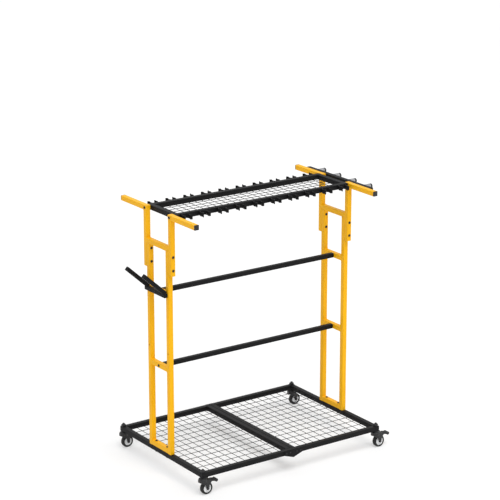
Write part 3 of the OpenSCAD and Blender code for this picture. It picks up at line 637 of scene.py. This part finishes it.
def lowerWelds(side):
    # Crossbars between the lower uprights: beads over and under them, and flush ones beside them
    x0, x1 = side * (rack["sideX"] - half), side * (rack["sideX"] + half)
    inner, foot = rack["lowY"] - half, rack["baseTop"] + half
    beads = []
    for level in (foot, rack["lowBarZ"], rack["midBarZ"]):
        for y in (-inner, inner):
            beads.append(weld((x0, y, level + half), (x1, y, level + half), bead["radius"]))
            if level > foot:
                beads.append(weld((x0, y, level - half), (x1, y, level - half), bead["radius"]))
            for x in (x0, x1):
                beads.append(weld((x, y, level - half), (x, y, level + half), bead["flush"]))
    return beads


def upperWelds(side):
    # The upper crossbar, and the arms on top of the uprights
    x0, x1 = side * (rack["sideX"] - half), side * (rack["sideX"] + half)
    inner, outer = rack["upY"] - half, rack["upY"] + half
    level, under = rack["shoulderZ"] + half, rack["armZ"] - half
    beads = []
    for y in (-inner, inner):
        for z in (level - half, level + half):
            beads.append(weld((x0, y, z), (x1, y, z), bead["radius"]))
        for x in (x0, x1):
            beads.append(weld((x, y, level - half), (x, y, level + half), bead["flush"]))
    for y in (-outer, outer):
        beads.append(weld((x0, y, under), (x1, y, under), bead["radius"]))
        for x in (x0, x1):
            beads.append(weld((x, y, under), (x, y, rack["armZ"] + half - bead["underTop"]), bead["flush"]))
    return beads


def baseWelds(side):
    # Upright beads in the ring's inner corners, and a flush bead over each joint
    inside = rack["halfDepth"] - rack["tube"]
    low, high = rack["baseUnder"] + bead["inset"], rack["baseTop"] - bead["inset"]
    beads = []
    seam, outer = bead["seam"], rack["halfWidth"]
    for near, far in ((seam, seam + rack["tube"]), (outer, outer - rack["tube"])):
        x0, x1 = (side * (near + far) / 2 + end * (half - bead["inset"]) for end in (-1, 1))
        for y in (-inside, inside):
            beads.append(weld((side * far, y, low), (side * far, y, high), bead["radius"]))
            beads.append(weld((x0, y, rack["baseTop"]), (x1, y, rack["baseTop"]), bead["flush"]))
    return beads


for side, word in ((-1, "left"), (1, "right")):
    makePiece("lower_frame_" + word + "_welds", lowerWelds(side), "lower_frame_" + word)
    makePiece("upper_frame_" + word + "_welds", upperWelds(side), "upper_frame_" + word)
    makePiece("base_" + word + "_welds", baseWelds(side), "base_" + word)

beads = []
for x in (-1, 1):
    for y in (-1, 1):
        place = (x * (rack["trayHalfX"] - rack["tube"]), y * (rack["trayHalfY"] - rack["tube"]))
        low, high = rack["armZ"] - half + bead["inset"], rack["armZ"] + half - bead["underTop"]
        beads.append(weld((*place, low), (*place, high), bead["radius"]))
makePiece("tray_welds", beads, "tray_frame")

# Lines where the prongs' under and upper faces meet the hook's tube
prong = {"pitch": 120.0, "lines": ((446.0, 751.4), (439.8, 753.0)), "half": 7.0}
beads = []
for middle in (-prong["pitch"] / 2, prong["pitch"] / 2):
    for x, z in prong["lines"]:
        beads.append(weld((-x, middle - prong["half"], z), (-x, middle + prong["half"], z), bead["radius"]))
makePiece("hose_hook_welds", beads, "hose_hook")

# Small round spots where the wires meet the tubes; a gap lies between a tube and the first wire
wires = {"deckZ": 82.0, "trayZ": 1053.0, "layer": 1.125, "spot": 2.1, "longs": 12, "crosses": 13,
         "leftGap": 6.0, "rightGap": 22.0, "endGap": 12.4, "seamX": 20.3, "trayLongs": 25, "trayCrosses": 4}


def spot(place):
    bm = bmesh.new()
    bmesh.ops.create_icosphere(bm, subdivisions=2, radius=wires["spot"])
    bmesh.ops.translate(bm, vec=place, verts=bm.verts)
    return bm


insideX, insideY = rack["halfWidth"] - rack["tube"], rack["halfDepth"] - rack["tube"]
lowZ, highZ = wires["deckZ"] - wires["layer"], wires["deckZ"] + wires["layer"]
for word, x0, x1 in (("left", -insideX, -wires["seamX"]), ("right", wires["seamX"], insideX)):
    spots = []
    pitch = (x1 - x0 - wires["leftGap"] - wires["rightGap"]) / (wires["longs"] - 1)
    for index in range(wires["longs"]):
        x = x0 + wires["leftGap"] + index * pitch
        spots += [spot((x, y, lowZ)) for y in (-insideY, insideY)]
    pitch = 2 * (insideY - wires["endGap"]) / (wires["crosses"] - 1)
    for index in range(wires["crosses"]):
        y = wires["endGap"] - insideY + index * pitch
        spots += [spot((x, y, highZ)) for x in (x0, x1)]
    makePiece("deck_" + word + "_spots", spots, "deck_" + word)

insideX, insideY = rack["trayHalfX"] - rack["tube"], rack["trayHalfY"] - rack["tube"]
lowZ, highZ = wires["trayZ"] - wires["layer"], wires["trayZ"] + wires["layer"]
spots = []
for index in range(1, wires["trayLongs"] + 1):
    x = -insideX + index * 2 * insideX / (wires["trayLongs"] + 1)
    spots += [spot((x, y, lowZ)) for y in (-insideY, insideY)]
for index in range(1, wires["trayCrosses"] + 1):
    y = -insideY + index * 2 * insideY / (wires["trayCrosses"] + 1)
    spots += [spot((x, y, highZ)) for x in (-insideX, insideX)]
makePiece("tray_spots", spots, "tray_floor")
print("welds made")


# Studio: the camera in millimetres, degrees and pixels of the photo; the rest in metres

camera = {"place": (-4317.2, -6242.0, 3121.7), "yaw": 34.84, "pitch": 16.73, "focal": 2013.0, "picture": 500.0,
          "sensor": 36.0, "near": 0.1, "far": 100}
cam = bpy.data.objects.new("camera", bpy.data.cameras.new("camera"))
bpy.context.scene.collection.objects.link(cam)
cam.data.sensor_width = camera["sensor"]
cam.data.lens = camera["focal"] / camera["picture"] * camera["sensor"]
cam.location = Vector(camera["place"]) * mm
cam.rotation_euler = Euler((math.radians(90 - camera["pitch"]), 0, -math.radians(camera["yaw"])))
cam.data.clip_start, cam.data.clip_end = camera["near"], camera["far"]
bpy.context.scene.camera = cam

floorLook = {"size": 14, "pale": rgb(0.93, 0.93, 0.93), "rough": 0.8, "glow": 0.37}
sun = {"energy": 1.8, "angle": 40, "from": (-0.1, -0.45, 1.0)}
lamps = {
    "fillLamp": {"place": (4.2, -2.2, 3.0), "aim": (0, 0, 0.5), "size": 3.0, "watts": 30.0},
    "backLamp": {"place": (0.5, 4.2, 4.0), "aim": (0, 0, 0.6), "size": 3.0, "watts": 24.0},
}
white = {"colour": (1, 1, 1, 1), "strength": 0.6}


def studioFloor():
    # Pale floor that glows a little for the camera alone
    bm = bmesh.new()
    bmesh.ops.create_grid(bm, x_segments=1, y_segments=1, size=floorLook["size"])
    mesh = bpy.data.meshes.new("floor")
    bm.to_mesh(mesh)
    bm.free()
    floor = bpy.data.objects.new("floor", mesh)
    bpy.context.scene.collection.objects.link(floor)
    mat = Mat("paleFloor")
    mat.set(Base_Color=floorLook["pale"], Roughness=floorLook["rough"])
    seen = mat.node("ShaderNodeLightPath", {}) * floorLook["glow"]
    glow = mat.node("ShaderNodeEmission", {}, white["colour"], 1.0)
    mixed = mat.node("ShaderNodeMixShader", {}, seen, Sock(mat, mat.bsdf.outputs["BSDF"]), glow)
    mat.link(mixed, mat.tree.nodes["Material Output"].inputs["Surface"])
    mesh.materials.append(mat.data)


def softSun():
    # A wide overhead light without falloff
    lamp = bpy.data.objects.new("keyLamp", bpy.data.lights.new("keyLamp", "SUN"))
    lamp.data.energy, lamp.data.angle = sun["energy"], math.radians(sun["angle"])
    lamp.rotation_euler = Vector(sun["from"]).to_track_quat("Z", "Y").to_euler()
    bpy.context.scene.collection.objects.link(lamp)


def areaLamp(name):
    light = lamps[name]
    lamp = bpy.data.objects.new(name, bpy.data.lights.new(name, "AREA"))
    lamp.data.shape, lamp.data.size, lamp.data.energy = "SQUARE", light["size"], light["watts"]
    lamp.location = light["place"]
    lamp.rotation_euler = (Vector(light["aim"]) - Vector(light["place"])).to_track_quat("-Z", "Y").to_euler()
    bpy.context.scene.collection.objects.link(lamp)


def whiteWorld():
    # White where the camera and reflections see it, and a softer light on everything else
    world = bpy.data.worlds.new("studio")
    bpy.context.scene.world = world
    world.use_nodes = True
    tree = world.node_tree
    lit = tree.nodes["Background"]
    lit.inputs["Color"].default_value = white["colour"]
    lit.inputs["Strength"].default_value = white["strength"]
    seen = tree.nodes.new("ShaderNodeBackground")
    seen.inputs["Color"].default_value = white["colour"]
    path = tree.nodes.new("ShaderNodeLightPath")
    factor = path.outputs["Is Camera Ray"]
    for ray in ("Is Glossy Ray", "Is Transmission Ray"):
        both = tree.nodes.new("ShaderNodeMath")
        both.operation = "MAXIMUM"
        tree.links.new(factor, both.inputs[0])
        tree.links.new(path.outputs[ray], both.inputs[1])
        factor = both.outputs[0]
    mix = tree.nodes.new("ShaderNodeMixShader")
    tree.links.new(factor, mix.inputs[0])
    tree.links.new(lit.outputs[0], mix.inputs[1])
    tree.links.new(seen.outputs[0], mix.inputs[2])
    tree.links.new(mix.outputs[0], tree.nodes["World Output"].inputs["Surface"])


studioFloor()
softSun()
for name in lamps:
    areaLamp(name)
whiteWorld()
bpy.context.scene.view_settings.view_transform = "Standard"
print("studio set")
